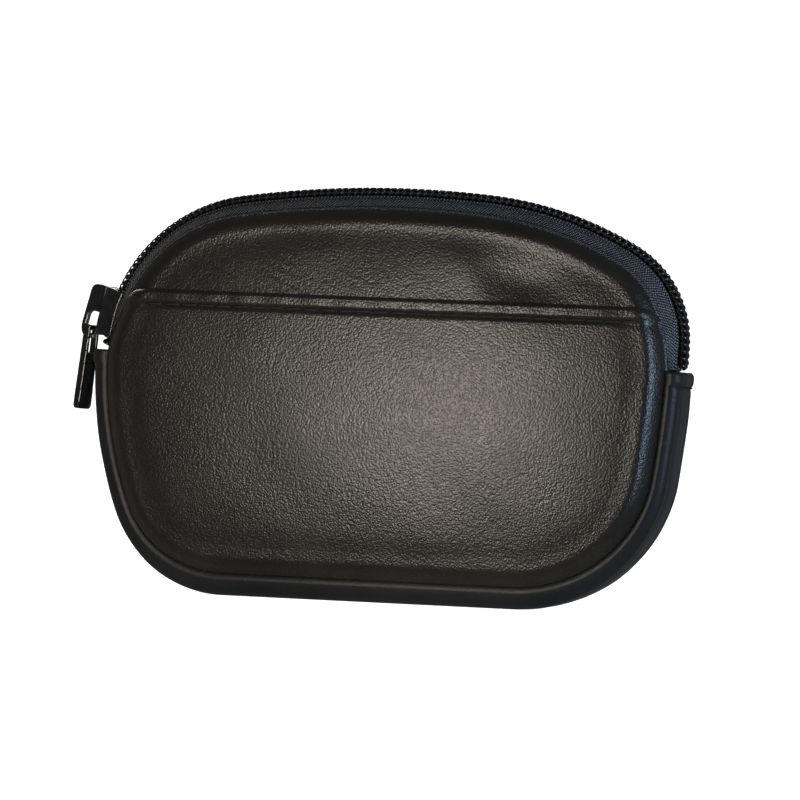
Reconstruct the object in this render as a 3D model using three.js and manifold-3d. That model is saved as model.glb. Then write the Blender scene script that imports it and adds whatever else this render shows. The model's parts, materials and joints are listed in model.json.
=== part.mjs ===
// A black leather coin purse, closed by a number 3 coil zip that runs over its arched top.
// It stands upright on the flat bottom of its gusset. Millimetres, X to the right, -Y to the
// front, +Z up, with the origin at the middle of that flat bottom.
import * as THREE from 'three';
import Module from 'manifold-3d';
import { mergeVertices } from 'three/addons/utils/BufferGeometryUtils.js';

const wasm = await Module();
wasm.setup();

const DEGREE = Math.PI / 180;

// The purse's outline seen from the front is one chain of tangent arcs, anticlockwise from
// the right-hand end of the flat bottom. The left side's radius and the length of the flat
// bottom follow, because the chain closes on itself.
const FLAT_END_X = 24.7;
const LEFT_SIDE = 'leftSide';
const LEFT_SHOULDER = 'leftShoulder';
const ARCS = [
  { name: 'bottomRight', radius: 27.6, turn: 82 },
  { name: 'rightSide', radius: 206, turn: 7 },
  { name: 'rightShoulder', radius: 20, turn: 62 },
  { name: 'rightSlope', radius: 67, turn: 24 },
  { name: 'top', radius: 190, turn: 14 },
  { name: LEFT_SHOULDER, radius: 30, turn: 79 },
  { name: LEFT_SIDE, radius: null, turn: 23.5 },
  { name: 'bottomLeft', radius: 21.8, turn: 68.5 },
];

// Where the two face seams run: this far from the middle plane, and this far in from the
// outline. They run further in along the zip and the bottom than down the gusset's sides.
const SEAM_Y = 9;
const SEAM_INSET = 3.6;
const SEAM_INSET_SIDE = 2.3;
const SIDE_TOP_Z = 42; // below this height the sides have the smaller inset
const ZIP_LOW_Z = 54; // above this height the sides have the full inset

const GUSSET_FLAT_Y = 7.2; // half of the gusset's flat width

const LEATHER = 1.1;
const LINING = 0.5;
const TAPE = 0.6;
const GAP = 0.3;
const HALF_GAP = GAP / 2;

const PANEL_EDGE_Y = 10.35; // where a face's rolled edge meets its crowned field
const PANEL_CROWN = 1.25; // how far the field bulges beyond its edge
const PANEL_CENTRE_Z = 38;
const FIELD_INNER = 0.55; // the face's rings, as shares of the way out to its edge
const FIELD_OUTER = 0.85;
const TURNED_IN = 2; // how far the edges of the faces and the gusset turn into the seam

const ZIP_END_Z = 44; // top of the gusset, where the zip's ends are sewn in
const COIL_START_Z = 50.5; // the coils' left ends, beside the slider's post
const COIL_RADIUS = 0.92;
const COIL_Y = 1.2;
const TAPE_DEPTH = 2.15; // from the outline down to the tape under the coil
const TAPE_EDGE_Y = 0.35; // half of the slot between the two tapes
const TAPE_PARTED_Y = 1.1; // the same where the tapes pass the slider's post

const POCKET_TOP_Z = 55.3;
const POCKET_CORNER = 5;
const POCKET_INSET = 0.9; // from the face seam to the pocket's edge
const STITCH_PITCH = 3.25;
const THREAD = 0.4;
const STITCH_RISE = 0.1; // how far a stitch's middle stands above its ends
const POCKET_STITCH_DROP = 2.6; // from the pocket's top edge to its stitch line
const POCKET_STITCH_HALF = 46; // half of the stitch line's length
const HEM_STITCH_DROP = 2.6; // from the gusset's top edge to its stitch line
const HEM_STITCH_HALF = 6.5;

const LOOP_STEPS = 48;
const STRIP_STEP = 5; // spacing of the sections along a strip

const SLIDER_REST = 12; // degrees of arc from the shoulder's lower end to the slider
const SLIDER_HALF_TURN = 8.4; // half of the slider's length, as an angle on the shoulder

// ---------------------------------------------------------------- outline

function turnVector(from, to) {
  return new THREE.Vector2(Math.sin(to) - Math.sin(from), Math.cos(from) - Math.cos(to));
}

// The chain as arcs with a start, a heading and a length, the flat bottom last.
function buildOutline() {
  let heading = 0;
  const arcs = ARCS.map((arc) => {
    const start = heading;
    heading += arc.turn * DEGREE;
    return { ...arc, heading: start, end: heading };
  });
  const drift = new THREE.Vector2();
  arcs.filter((arc) => arc.radius).forEach((arc) => {
    drift.addScaledVector(turnVector(arc.heading, arc.end), arc.radius);
  });
  const side = arcs.find((arc) => arc.name === LEFT_SIDE);
  const across = turnVector(side.heading, side.end);
  side.radius = -drift.y / across.y;
  const flat = -(drift.x + side.radius * across.x);
  const corner = new THREE.Vector2(FLAT_END_X, 0);
  let travelled = 0;
  arcs.forEach((arc) => {
    arc.start = corner.clone();
    arc.from = travelled;
    arc.length = arc.radius * (arc.end - arc.heading);
    travelled += arc.length;
    corner.addScaledVector(turnVector(arc.heading, arc.end), arc.radius);
  });
  arcs.push({ name: 'bottom', start: corner.clone(), heading: 0, from: travelled, length: flat });
  return { arcs, perimeter: travelled + flat };
}

const OUTLINE = buildOutline();

function arcNamed(name) {
  return OUTLINE.arcs.find((arc) => arc.name === name);
}

// The point of the outline at a distance along it, with its outward normal.
function outlineAt(distance) {
  const s = ((distance % OUTLINE.perimeter) + OUTLINE.perimeter) % OUTLINE.perimeter;
  const arc = OUTLINE.arcs.findLast((candidate) => candidate.from <= s);
  const along = s - arc.from;
  const heading = arc.radius ? arc.heading + along / arc.radius : 0;
  const point = arc.start.clone();
  if (arc.radius) {
    point.addScaledVector(turnVector(arc.heading, heading), arc.radius);
  } else {
    point.x += along;
  }
  const nx = Math.sin(heading);
  const nz = -Math.cos(heading);
  const share = Math.max(nz * nz, THREE.MathUtils.smoothstep(point.y, SIDE_TOP_Z, ZIP_LOW_Z));
  const inset = SEAM_INSET_SIDE + (SEAM_INSET - SEAM_INSET_SIDE) * share;
  return { x: point.x, z: point.y, nx, nz, inset, distance: s };
}

// The distance at which the outline reaches a height, between two distances.
function distanceAtHeight(z, low, high) {
  let [a, b] = [low, high];
  const rising = outlineAt(b).z > outlineAt(a).z;
  for (let i = 0; i < 40; i += 1) {
    const middle = (a + b) / 2;
    if (outlineAt(middle).z < z === rising) a = middle;
    else b = middle;
  }
  return a;
}

const HALF_WAY = arcNamed('top').from + arcNamed('top').length / 2;
const RIGHT_END = distanceAtHeight(ZIP_END_Z, 0, HALF_WAY);
const LEFT_END = distanceAtHeight(ZIP_END_Z, HALF_WAY, arcNamed('bottom').from);
const COIL_END = distanceAtHeight(COIL_START_Z, HALF_WAY, LEFT_END);

function insetPoint(station, y, depth) {
  return new THREE.Vector3(station.x - station.nx * depth, y, station.z - station.nz * depth);
}

function stationsBetween(from, to, spacing) {
  const steps = Math.max(1, Math.round(Math.abs(to - from) / spacing));
  return Array.from({ length: steps + 1 }, (_, i) => outlineAt(from + ((to - from) * i) / steps));
}

function stationsAround() {
  return Array.from({ length: LOOP_STEPS }, (_, i) =>
    outlineAt((OUTLINE.perimeter * i) / LOOP_STEPS),
  );
}

// ---------------------------------------------------------------- closed solids

// A closed mesh from points and triangles, turned so that its faces point out.
function solid(points, triangles) {
  const cross = new THREE.Vector3();
  let volume = 0;
  triangles.forEach(([a, b, c]) => {
    volume += points[a].dot(cross.crossVectors(points[b], points[c]));
  });
  const outward = volume > 0 ? triangles : triangles.map(([a, b, c]) => [a, c, b]);
  const geometry = new THREE.BufferGeometry();
  const values = points.flatMap((point) => [point.x, point.y, point.z]);
  geometry.setAttribute('position', new THREE.Float32BufferAttribute(values, 3));
  geometry.setIndex(outward.flat());
  return geometry;
}

function bridge(triangles, ringA, ringB, count) {
  for (let i = 0; i < count; i += 1) {
    const next = (i + 1) % count;
    triangles.push([ringA + i, ringA + next, ringB + next]);
    triangles.push([ringA + i, ringB + next, ringB + i]);
  }
}

// A section's own triangles, all wound the way its points run.
function capTriangles(section) {
  const contour = section.map(([u, v]) => new THREE.Vector2(u, v));
  const sense = Math.sign(THREE.ShapeUtils.area(contour));
  return THREE.ShapeUtils.triangulateShape(contour, []).map(([a, b, c]) => {
    const area = THREE.ShapeUtils.area([contour[a], contour[b], contour[c]]);
    return Math.sign(area) === sense ? [a, b, c] : [a, c, b];
  });
}

// A loft through rings of points that all repeat one kind of section, with flat ends.
function loft(rings, firstSection, lastSection) {
  const count = firstSection.length;
  const last = (rings.length - 1) * count;
  const triangles = [];
  rings.slice(1).forEach((_, k) => bridge(triangles, k * count, (k + 1) * count, count));
  capTriangles(firstSection).forEach(([a, b, c]) => triangles.push([a, c, b]));
  capTriangles(lastSection).forEach((face) => triangles.push(face.map((i) => last + i)));
  return solid(rings.flat(), triangles);
}

// A strip: the section [y, depth] at each station, with flat ends.
function strip(stations, sectionAt) {
  const rings = stations.map((station) =>
    sectionAt(station).map(([y, depth]) => insetPoint(station, y, depth)),
  );
  return loft(rings, sectionAt(stations[0]), sectionAt(stations.at(-1)));
}

// A ring: the section at each station of a whole turn, with no ends.
function ring(stations, sectionAt) {
  const points = [];
  const triangles = [];
  const count = sectionAt(stations[0]).length;
  stations.forEach((station, k) => {
    sectionAt(station).forEach(([y, depth]) => points.push(insetPoint(station, y, depth)));
    bridge(triangles, k * count, ((k + 1) % stations.length) * count, count);
  });
  return solid(points, triangles);
}

// A dish: rings of points from the middle of one face, round the edge, to the middle of
// the other face.
function dish(rings, firstCentre, lastCentre) {
  const count = rings[0].length;
  const points = [...rings.flat(), firstCentre, lastCentre];
  const triangles = [];
  rings.slice(1).forEach((_, k) => bridge(triangles, k * count, (k + 1) * count, count));
  const last = (rings.length - 1) * count;
  for (let i = 0; i < count; i += 1) {
    const next = (i + 1) % count;
    triangles.push([points.length - 2, next, i]);
    triangles.push([points.length - 1, last + i, last + next]);
  }
  return solid(points, triangles);
}

function mirrored(section, side) {
  return side < 0 ? section.map(([y, depth]) => [-y, depth]) : section;
}

function bar(halfWidth, y, low, high) {
  return [
    [y - halfWidth, low],
    [y + halfWidth, low],
    [y + halfWidth, high],
    [y - halfWidth, high],
  ];
}

// ---------------------------------------------------------------- faces

const SEAM_LOOP = stationsAround();

// How far a face's outer surface stands from the middle plane, where t runs from 0 at its
// centre to 1 at its edge.
function crownY(t) {
  return PANEL_EDGE_Y + PANEL_CROWN * (1 - t ** 4);
}

function scaledRing(edge, t, y) {
  return edge.map(
    (point) => new THREE.Vector3(point.x * t, y, PANEL_CENTRE_Z + (point.z - PANEL_CENTRE_Z) * t),
  );
}

// A leather face: its edge is turned in along the seam, and its field is crowned.
function facePanel(side) {
  const at = (extra, y) =>
    SEAM_LOOP.map((station) => insetPoint(station, side * y, station.inset + extra));
  const edge = at(1, PANEL_EDGE_Y);
  const outer = (t) => scaledRing(edge, t, side * crownY(t));
  const inner = (t) => scaledRing(edge, t, side * (crownY(t) - LEATHER));
  const rings = [
    outer(FIELD_INNER),
    outer(FIELD_OUTER),
    edge,
    at(0.1, PANEL_EDGE_Y - LEATHER / 2),
    at(0.15, SEAM_Y + HALF_GAP),
    at(TURNED_IN, SEAM_Y + HALF_GAP),
    inner(0.9),
    inner(FIELD_INNER),
  ];
  const centre = (y) => new THREE.Vector3(0, side * y, PANEL_CENTRE_Z);
  return dish(rings, centre(crownY(0)), centre(crownY(0) - LEATHER));
}

// A face's lining, a thin sheet just inside the leather.
function faceLining(side) {
  const edge = SEAM_LOOP.map((station) => insetPoint(station, 0, station.inset + 2.9));
  const outerY = (t) => side * (crownY(t) - LEATHER - GAP - 0.1);
  const innerY = (t) => outerY(t) - side * LINING;
  const rings = [
    scaledRing(edge, FIELD_INNER, outerY(FIELD_INNER)),
    scaledRing(edge, 1, outerY(0.95)),
    scaledRing(edge, 1, innerY(0.95)),
    scaledRing(edge, FIELD_INNER, innerY(FIELD_INNER)),
  ];
  const centre = (y) => new THREE.Vector3(0, y, PANEL_CENTRE_Z);
  return dish(rings, centre(outerY(0)), centre(innerY(0)));
}

// How far out a point of the face is, from 0 at its centre to 1 at its edge.
function faceFraction(x, z) {
  const reach = SEAM_LOOP.map((station) => insetPoint(station, 0, station.inset + 1));
  const from = new THREE.Vector2(x, z - PANEL_CENTRE_Z);
  let fraction = 0;
  reach.forEach((point, i) => {
    const next = reach[(i + 1) % reach.length];
    const edge = new THREE.Vector2(next.x - point.x, next.z - point.z);
    const normal = new THREE.Vector2(edge.y, -edge.x).normalize();
    const distance = normal.dot(new THREE.Vector2(point.x, point.z - PANEL_CENTRE_Z));
    fraction = Math.max(fraction, normal.dot(from) / distance);
  });
  return fraction;
}

// ---------------------------------------------------------------- slip pocket

// The pocket's own outline: the face's edge below the top hem, and the hem with its two
// rounded corners.
function pocketOutline() {
  const stations = stationsBetween(
    distanceAtHeight(POCKET_TOP_Z - POCKET_CORNER, HALF_WAY, arcNamed('bottom').from) -
      OUTLINE.perimeter,
    distanceAtHeight(POCKET_TOP_Z - POCKET_CORNER, 0, HALF_WAY),
    6,
  );
  const edge = stations.map((station) => insetPoint(station, 0, station.inset + POCKET_INSET));
  const corner = (x, from) => [15, 45, 75].map((degrees) => {
    const angle = (from === 'right' ? degrees : 180 - degrees) * DEGREE;
    const centreX = from === 'right' ? x - POCKET_CORNER : x + POCKET_CORNER;
    return new THREE.Vector3(
      centreX + POCKET_CORNER * Math.cos(angle),
      0,
      POCKET_TOP_Z - POCKET_CORNER + POCKET_CORNER * Math.sin(angle),
    );
  });
  const right = edge.at(-1).x;
  const left = edge[0].x;
  const top = [0.8, 0.5, 0.2].map((share) =>
    new THREE.Vector3(left + (right - left) * share, 0, POCKET_TOP_Z),
  );
  return [...edge, ...corner(right, 'right'), ...top, ...corner(left, 'left').reverse()];
}

function frontPocket() {
  const edge = pocketOutline();
  const centreZ = POCKET_TOP_Z / 2;
  const layer = (t, lift) =>
    edge.map((point) => {
      const x = point.x * t;
      const z = centreZ + (point.z - centreZ) * t;
      return new THREE.Vector3(x, -(crownY(Math.min(1, faceFraction(x, z))) + lift), z);
    });
  const centre = (lift) => new THREE.Vector3(0, -(crownY(faceFraction(0, centreZ)) + lift), centreZ);
  const rings = [
    layer(0.5, GAP + LEATHER),
    layer(0.85, GAP + LEATHER),
    layer(0.985, GAP + LEATHER),
    layer(1, GAP + LEATHER / 2),
    layer(1, GAP),
    layer(0.8, GAP),
    layer(0.5, GAP),
  ];
  return dish(rings, centre(GAP + LEATHER), centre(GAP));
}

// A straight run of stitches as one thread: each stitch stands proud, and the thread dips
// between two stitches. Points are given by a function of the distance along the run.
function stitchRun(length, frameAt) {
  const stitches = Math.round(length / STITCH_PITCH);
  const pitch = length / stitches;
  const section = bar(THREAD / 2, 0, 0, THREAD);
  const rings = [];
  const add = (distance, lift) => {
    const { point, across, out } = frameAt(distance);
    rings.push(section.map(([u, v]) =>
      point.clone().addScaledVector(across, u).addScaledVector(out, lift + v),
    ));
  };
  for (let i = 0; i < stitches; i += 1) {
    add((i + 0.1) * pitch, 0);
    add((i + 0.5) * pitch, STITCH_RISE);
    add((i + 0.9) * pitch, 0);
  }
  return loft(rings, section, section);
}

function pocketStitching() {
  const z = POCKET_TOP_Z - POCKET_STITCH_DROP;
  return stitchRun(2 * POCKET_STITCH_HALF, (distance) => {
    const x = distance - POCKET_STITCH_HALF;
    const y = -(crownY(Math.min(1, faceFraction(x, z))) + GAP + LEATHER + GAP / 3);
    return {
      point: new THREE.Vector3(x, y, z),
      across: new THREE.Vector3(0, 0, 1),
      out: new THREE.Vector3(0, -1, 0),
    };
  });
}

// ---------------------------------------------------------------- gusset

// The gusset strip in section: flat between the seams, with its edges rolled and turned in.
function gussetSection({ inset }) {
  const rim = SEAM_Y - HALF_GAP;
  const end = inset + TURNED_IN;
  const half = [
    [GUSSET_FLAT_Y, 0],
    [rim - 0.5, 0.45 * inset],
    [rim, inset],
    [rim, end],
    [rim - LEATHER, end],
    [rim - LEATHER, inset + 0.4],
    [GUSSET_FLAT_Y - 0.5, LEATHER],
  ];
  return [...half, ...half.map(([y, depth]) => [-y, depth]).reverse()];
}

function gussetLiningSection({ inset }) {
  const depth = LEATHER + GAP + 0.1;
  const half = [
    [6, depth],
    [7.3, inset + 1.2],
    [6.8, inset + 1.5],
    [5.6, depth + LINING],
  ];
  return [...half, ...half.map(([y, inward]) => [-y, inward]).reverse()];
}

function bottomStations() {
  return stationsBetween(LEFT_END - OUTLINE.perimeter, RIGHT_END, STRIP_STEP);
}

function hemStitching(end, direction) {
  const station = outlineAt(end + direction * HEM_STITCH_DROP);
  return stitchRun(2 * HEM_STITCH_HALF, (distance) => ({
    point: insetPoint(station, distance - HEM_STITCH_HALF, -GAP / 3),
    across: new THREE.Vector3(-station.nz, 0, station.nx),
    out: new THREE.Vector3(station.nx, 0, station.nz),
  }));
}

// ---------------------------------------------------------------- zip

function tapeSection(side) {
  return ({ inset, distance }) => {
    const edge = distance > COIL_END - STRIP_STEP ? TAPE_PARTED_Y : TAPE_EDGE_Y;
    const rim = SEAM_Y - HALF_GAP;
    const slope = (share) => TAPE_DEPTH + share * (inset - 1.6);
    const section = [
      [edge, TAPE_DEPTH],
      [2.6, TAPE_DEPTH],
      [5.6, slope(0.3)],
      [8, slope(0.8)],
      [rim, inset + 1.2],
      [rim, inset + 2.6],
      [rim - TAPE, inset + 2.6],
      [rim - TAPE, inset + 1.4],
      [7.7, slope(0.8) + TAPE],
      [5.5, slope(0.3) + TAPE],
      [2.6, TAPE_DEPTH + TAPE],
      [edge, TAPE_DEPTH + TAPE],
    ];
    return mirrored(section, side);
  };
}

function coilSection(side) {
  const sides = 8;
  return () => {
    const section = Array.from({ length: sides }, (_, i) => {
      const angle = ((i + 0.5) * 2 * Math.PI) / sides;
      return [COIL_Y + COIL_RADIUS * Math.cos(angle), COIL_RADIUS * (1 + Math.sin(angle))];
    });
    return mirrored(section, side);
  };
}

function zipStations() {
  return stationsBetween(RIGHT_END + GAP, LEFT_END - GAP, STRIP_STEP);
}

function coilStations() {
  return stationsBetween(RIGHT_END + 2 * GAP, COIL_END, STRIP_STEP);
}

// ---------------------------------------------------------------- slider and pull

// The slider rides the left shoulder, which is a true arc, so its places on it are given
// by an angle along the arc and a height above the coils.
const SHOULDER = arcNamed(LEFT_SHOULDER);
const SHOULDER_CENTRE = SHOULDER.start.clone().add(
  new THREE.Vector2(-Math.sin(SHOULDER.heading), Math.cos(SHOULDER.heading))
    .multiplyScalar(SHOULDER.radius),
);
const REST_ANGLE = SHOULDER.end - Math.PI / 2 - SLIDER_REST * DEGREE;

const PLATE_LOW = 0.35; // underside of the slider's top plate, above the coils
const PLATE_TOP = 1.45;
const FLANGE_INNER = 3.1;
const FLANGE_OUTER = 3.8;
const FLANGE_DEPTH = 1.7;
const BASE_HIGH = -3.1; // top of the slider's bottom plate, under the tapes
const BASE_LOW = -3.9;
const POST_HALF_WIDTH = 0.75;
const CROWN_FOOT = PLATE_TOP + GAP;
const CROWN_HALF_WIDTH = 1.15;
const CROWN_HIGH = 4.6;
const CROWN_UPPER = 4.4; // the crown's two ends along the track
const CROWN_LOWER = -5.6;
const EYE_HIGH = 3.8; // the opening under the crown that the pull tab hangs in
const EYE_UPPER = -0.6;
const EYE_LOWER = -4.75;
const PIVOT_ALONG = -3.7;
const PIVOT_HEIGHT = 2.75;

function shoulderPoint(angle, height, y) {
  const r = SHOULDER.radius + height;
  return new THREE.Vector3(
    SHOULDER_CENTRE.x + r * Math.cos(angle),
    y,
    SHOULDER_CENTRE.y + r * Math.sin(angle),
  );
}

// A curved bar along the arc, between two angles either side of the slider's rest place.
function shoulderBar(from, to, section) {
  const steps = Math.max(2, Math.ceil((to - from) / 3));
  const rings = Array.from({ length: steps + 1 }, (_, k) => {
    const angle = REST_ANGLE + (from + ((to - from) * k) / steps) * DEGREE;
    return section.map(([y, height]) => shoulderPoint(angle, height, y));
  });
  return loft(rings, section, section);
}

function toManifold(geometry) {
  const merged = geometry.clone();
  merged.deleteAttribute('normal');
  merged.deleteAttribute('uv');
  const welded = mergeVertices(merged, 1e-4);
  return new wasm.Manifold(new wasm.Mesh({
    numProp: 3,
    vertProperties: new Float32Array(welded.attributes.position.array),
    triVerts: new Uint32Array(welded.index.array),
  }));
}

function fromManifold(manifold) {
  const mesh = manifold.getMesh();
  const geometry = new THREE.BufferGeometry();
  geometry.setAttribute('position', new THREE.BufferAttribute(mesh.vertProperties, 3));
  geometry.setIndex(new THREE.BufferAttribute(mesh.triVerts, 1));
  return geometry;
}

// Two curved plates, above the coils and under the tapes, joined by the post that stands
// between the parted coils. The top plate's sides turn down along the coils.
function sliderBody() {
  const topPlate = [
    [-FLANGE_OUTER, PLATE_TOP - 0.4],
    [-FLANGE_OUTER, -FLANGE_DEPTH],
    [-FLANGE_INNER, -FLANGE_DEPTH],
    [-FLANGE_INNER, PLATE_LOW],
    [FLANGE_INNER, PLATE_LOW],
    [FLANGE_INNER, -FLANGE_DEPTH],
    [FLANGE_OUTER, -FLANGE_DEPTH],
    [FLANGE_OUTER, PLATE_TOP - 0.4],
    [FLANGE_OUTER - 0.6, PLATE_TOP],
    [-FLANGE_OUTER + 0.6, PLATE_TOP],
  ];
  const bottomPlate = bar(FLANGE_INNER, 0, BASE_LOW, BASE_HIGH);
  const post = bar(POST_HALF_WIDTH, 0, BASE_LOW + 0.3, PLATE_TOP - 0.3);
  const body = toManifold(shoulderBar(-SLIDER_HALF_TURN, SLIDER_HALF_TURN, topPlate))
    .add(toManifold(shoulderBar(-SLIDER_HALF_TURN, SLIDER_HALF_TURN, bottomPlate)))
    .add(toManifold(shoulderBar(SLIDER_HALF_TURN - 3.6, SLIDER_HALF_TURN - 0.6, post)));
  return fromManifold(body);
}

// The slider's own flat frame: X along the track towards the top of the purse, Y up from
// the coils, and Z across the slider.
function sliderFrame() {
  const origin = shoulderPoint(REST_ANGLE, 0, 0);
  const out = new THREE.Vector3(Math.cos(REST_ANGLE), 0, Math.sin(REST_ANGLE));
  const along = new THREE.Vector3(Math.sin(REST_ANGLE), 0, -Math.cos(REST_ANGLE));
  const across = new THREE.Vector3().crossVectors(along, out);
  return new THREE.Matrix4().makeBasis(along, out, across).setPosition(origin);
}

// The crown is an arch over the slider. Its upper half is a solid square shoulder, and its
// lower end hooks down round the bar of the pull tab, with an open eye between the two.
function sliderCrown() {
  const shape = new THREE.Shape();
  shape.moveTo(CROWN_UPPER, CROWN_FOOT);
  shape.lineTo(CROWN_UPPER, CROWN_HIGH - 1.4);
  shape.quadraticCurveTo(CROWN_UPPER, CROWN_HIGH, CROWN_UPPER - 1.4, CROWN_HIGH);
  shape.lineTo(CROWN_LOWER + 2.8, CROWN_HIGH);
  shape.quadraticCurveTo(CROWN_LOWER, CROWN_HIGH, CROWN_LOWER, EYE_HIGH - 1);
  shape.lineTo(CROWN_LOWER, CROWN_FOOT);
  shape.lineTo(EYE_LOWER, CROWN_FOOT);
  shape.lineTo(EYE_LOWER, EYE_HIGH - 1);
  shape.quadraticCurveTo(EYE_LOWER, EYE_HIGH, EYE_LOWER + 1, EYE_HIGH);
  shape.lineTo(EYE_UPPER - 1, EYE_HIGH);
  shape.quadraticCurveTo(EYE_UPPER, EYE_HIGH, EYE_UPPER, EYE_HIGH - 1);
  shape.lineTo(EYE_UPPER, CROWN_FOOT);
  const geometry = new THREE.ExtrudeGeometry(shape, {
    depth: 2 * CROWN_HALF_WIDTH,
    bevelEnabled: false,
    curveSegments: 6,
  });
  geometry.translate(0, 0, -CROWN_HALF_WIDTH);
  return geometry.applyMatrix4(sliderFrame());
}

const TAB_ABOVE = 0.5; // from the pivot to the tab's top edge
const TAB_LENGTH = 15.6;
const TAB_TOP_HALF = 2.3;
const TAB_END_HALF = 2.9;
const TAB_THICK = 1.2;
const WINDOW_HALF = 1.5;
const WINDOW_START = 0.5;
const WINDOW_END = 4.6;
const TAB_CORNER = 1.2;

function pivotPoint() {
  return new THREE.Vector3(PIVOT_ALONG, PIVOT_HEIGHT, 0).applyMatrix4(sliderFrame());
}

// The tab hangs straight down from the crown's eye by the bar above its window.
function pullTab() {
  const low = TAB_ABOVE - TAB_LENGTH;
  const shape = new THREE.Shape();
  shape.moveTo(-TAB_TOP_HALF, TAB_ABOVE);
  shape.lineTo(-TAB_END_HALF, low + TAB_CORNER);
  shape.quadraticCurveTo(-TAB_END_HALF, low, -TAB_END_HALF + TAB_CORNER, low);
  shape.lineTo(TAB_END_HALF - TAB_CORNER, low);
  shape.quadraticCurveTo(TAB_END_HALF, low, TAB_END_HALF, low + TAB_CORNER);
  shape.lineTo(TAB_TOP_HALF, TAB_ABOVE);
  const window = new THREE.Path();
  window.moveTo(-WINDOW_HALF, -WINDOW_START);
  window.lineTo(WINDOW_HALF, -WINDOW_START);
  window.lineTo(WINDOW_HALF, -WINDOW_END);
  window.lineTo(-WINDOW_HALF, -WINDOW_END);
  shape.holes.push(window);
  const geometry = new THREE.ExtrudeGeometry(shape, {
    depth: TAB_THICK,
    bevelEnabled: false,
    curveSegments: 4,
  });
  geometry.translate(0, 0, -TAB_THICK / 2);
  const pivot = pivotPoint();
  const across = new THREE.Vector3(0, 1, 0);
  const up = new THREE.Vector3(0, 0, 1);
  const basis = new THREE.Matrix4().makeBasis(across, up, across.clone().cross(up));
  return geometry.applyMatrix4(basis.setPosition(pivot));
}

// ---------------------------------------------------------------- assembly

const leather = { color: 0x1c1a18, roughness: 0.48, metalness: 0 };
const liningCloth = { color: 0x17171a, roughness: 0.85, metalness: 0 };
const tapeCloth = { color: 0x0e0f12, roughness: 0.8, metalness: 0 };
const nylon = { color: 0x08080a, roughness: 0.3, metalness: 0 };
const thread = { color: 0x0c0c0d, roughness: 0.7, metalness: 0 };
const enamel = { color: 0x060606, roughness: 0.12, metalness: 0.2 };

const group = new THREE.Group();

function piece(name, geometry, material) {
  const mesh = new THREE.Mesh(geometry, new THREE.MeshStandardMaterial(material));
  mesh.name = name;
  group.add(mesh);
}

const SIDES = [
  ['front', -1],
  ['back', 1],
];

SIDES.forEach(([word, side]) => {
  piece(`${word}_panel`, facePanel(side), leather);
  piece(`${word}_lining`, faceLining(side), liningCloth);
  piece(`${word}_zip_tape`, strip(zipStations(), tapeSection(side)), tapeCloth);
  piece(`${word}_zip_coil`, strip(coilStations(), coilSection(side)), nylon);
  const sewing = () => bar(0.15, side * (COIL_Y + COIL_RADIUS + 0.45), 1.4, 1.8);
  piece(`${word}_coil_thread`, strip(coilStations(), sewing), thread);
  const seam = ({ inset }) => bar(0.2, side * 7, inset + 2.4, inset + 2.8);
  piece(`${word}_seam_thread`, ring(stationsAround(), seam), thread);
});
piece('front_pocket', frontPocket(), leather);
piece('pocket_stitching', pocketStitching(), thread);
piece('gusset', strip(bottomStations(), gussetSection), leather);
piece('gusset_lining', strip(bottomStations(), gussetLiningSection), liningCloth);
piece('right_hem_stitching', hemStitching(RIGHT_END, -1), thread);
piece('left_hem_stitching', hemStitching(LEFT_END, 1), thread);
piece('slider_body', sliderBody(), enamel);
piece('slider_crown', sliderCrown(), enamel);
piece('pull_tab', pullTab(), enamel);

export default group;
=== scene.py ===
"""The looks of the coin purse: fine leather, woven tape, coil zip and enamelled slider."""

import json
import math

import bmesh
import bpy
import numpy as np
from mathutils import Matrix, Vector


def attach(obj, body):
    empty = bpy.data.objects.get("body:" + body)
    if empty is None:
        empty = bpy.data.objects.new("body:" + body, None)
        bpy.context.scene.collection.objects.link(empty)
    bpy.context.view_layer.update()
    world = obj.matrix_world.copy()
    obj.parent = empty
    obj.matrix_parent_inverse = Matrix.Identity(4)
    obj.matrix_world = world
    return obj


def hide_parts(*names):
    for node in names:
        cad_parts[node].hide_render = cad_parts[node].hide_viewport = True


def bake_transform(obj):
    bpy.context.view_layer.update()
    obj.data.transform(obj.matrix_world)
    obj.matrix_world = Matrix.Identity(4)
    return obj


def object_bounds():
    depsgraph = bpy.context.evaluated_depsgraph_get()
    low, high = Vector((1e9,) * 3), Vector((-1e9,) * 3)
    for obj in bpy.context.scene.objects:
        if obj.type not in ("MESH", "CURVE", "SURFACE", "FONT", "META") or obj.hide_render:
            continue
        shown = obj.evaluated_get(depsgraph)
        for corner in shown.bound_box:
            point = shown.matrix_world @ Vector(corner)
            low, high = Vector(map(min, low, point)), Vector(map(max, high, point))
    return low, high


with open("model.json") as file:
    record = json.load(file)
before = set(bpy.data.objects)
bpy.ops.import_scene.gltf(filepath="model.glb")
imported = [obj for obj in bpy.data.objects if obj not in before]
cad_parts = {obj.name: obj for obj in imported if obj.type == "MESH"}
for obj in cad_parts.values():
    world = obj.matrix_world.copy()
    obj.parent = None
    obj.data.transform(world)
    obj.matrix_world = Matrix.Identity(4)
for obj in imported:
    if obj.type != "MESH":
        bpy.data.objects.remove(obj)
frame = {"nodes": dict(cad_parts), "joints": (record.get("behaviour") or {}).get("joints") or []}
cad_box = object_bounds()

MM = 0.001
rng = np.random.default_rng(7)

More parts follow.
